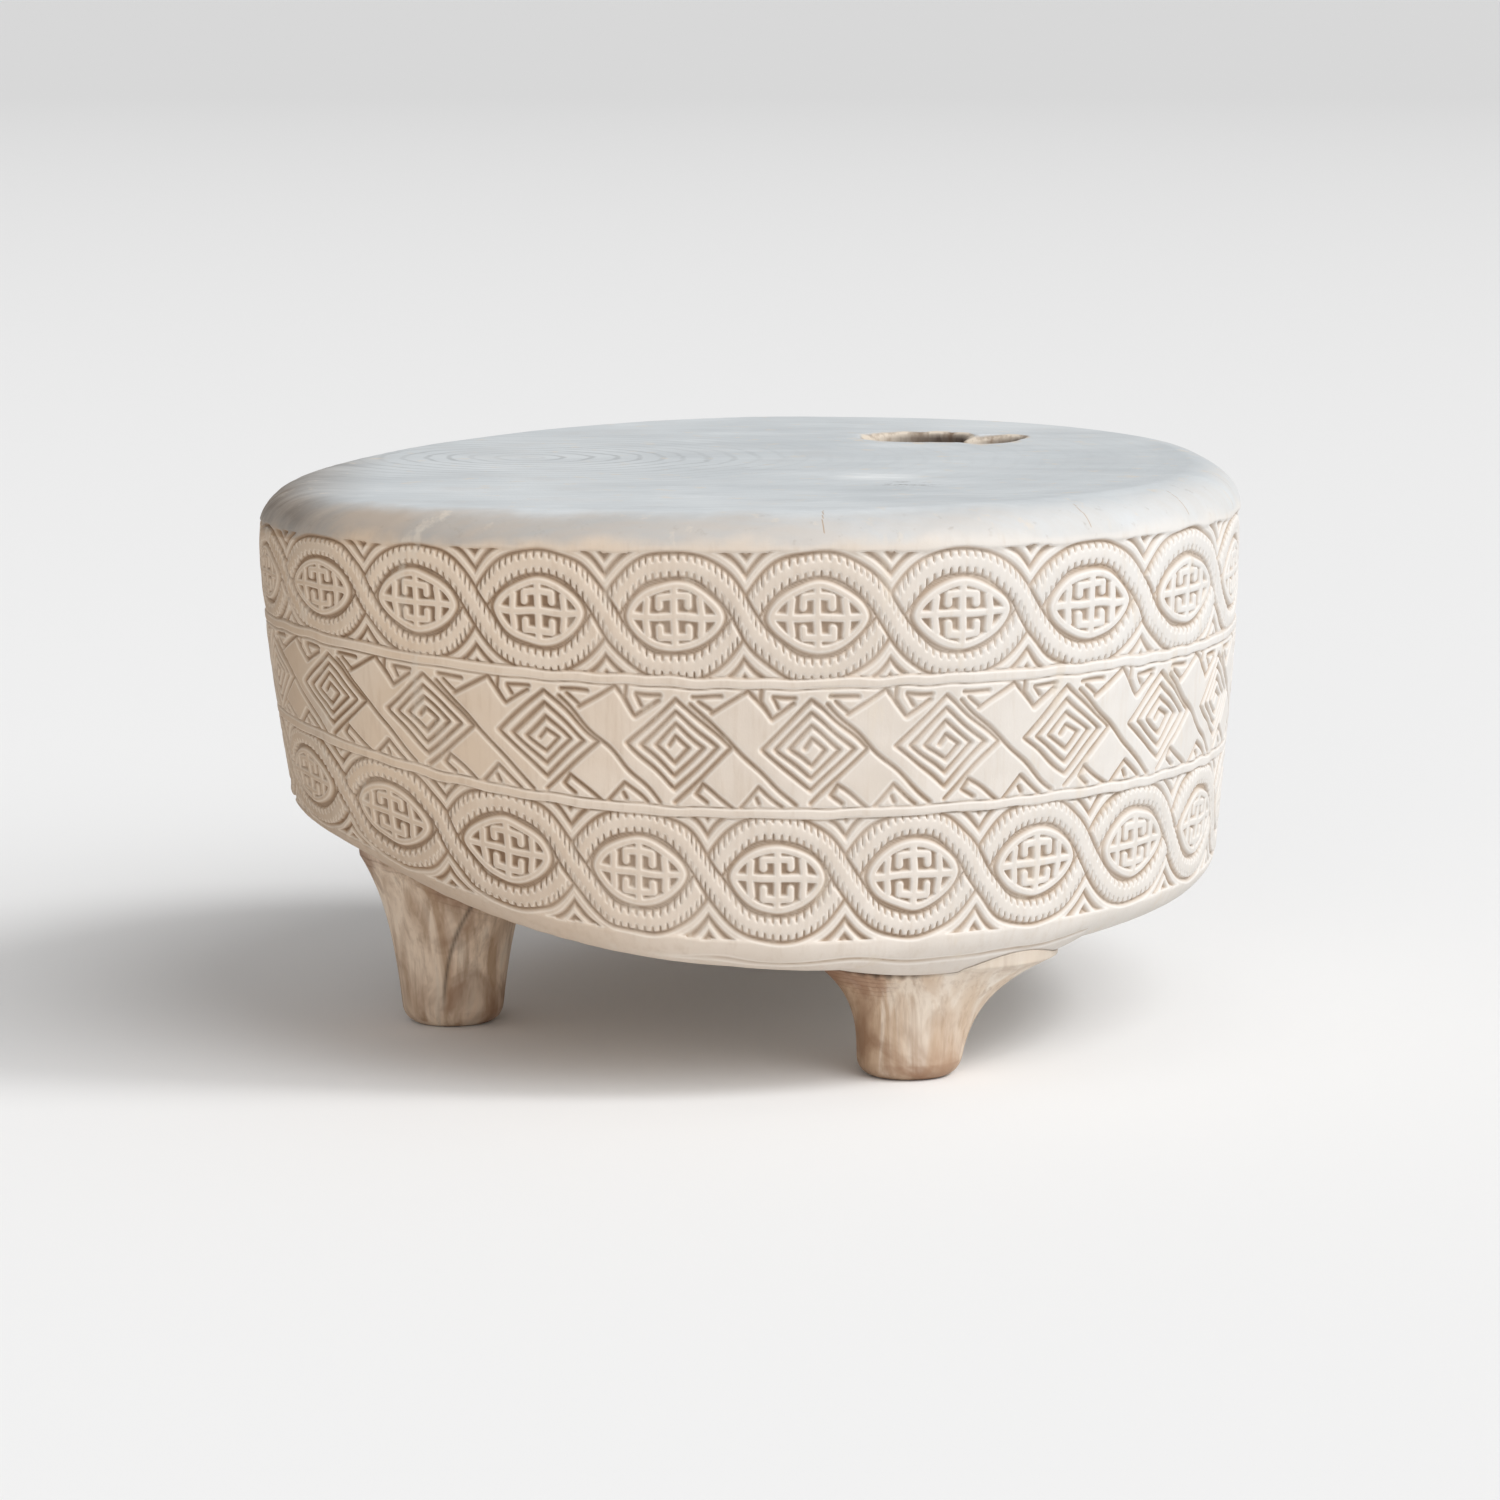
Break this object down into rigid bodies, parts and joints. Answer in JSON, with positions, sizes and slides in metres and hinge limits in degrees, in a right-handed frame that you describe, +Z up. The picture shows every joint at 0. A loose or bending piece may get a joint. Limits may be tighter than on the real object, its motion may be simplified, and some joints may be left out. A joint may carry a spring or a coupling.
{
  "type": "low carved table",
  "caption": "Low round table: a thick trunk slice with bands of carved relief round its side, a natural hollow in its flat top, and short flared legs.",
  "frame": {"origin": "on the floor, under the middle of the object's bounding box", "axes": "+Z up, -Y the front as pictured, +X to the right of it, so the long leg is at -X"},
  "size_m": [0.746, 0.8, 0.427],
  "materials": {
    "bleached_wood": "bleached, matt, unvarnished; greyer on the end grain of the top",
    "leg_wood": "lightly bleached, matt, with brown grain showing",
    "dowel_wood": "plain, glued in and hidden"
  },
  "bodies": {
    "root": {"body": "bleached_wood", "leg_front": "leg_wood", "leg_left": "leg_wood", "leg_back": "leg_wood", "dowel_front": "dowel_wood", "dowel_left": "dowel_wood", "dowel_back": "dowel_wood"}
  },
  "joints": []
}
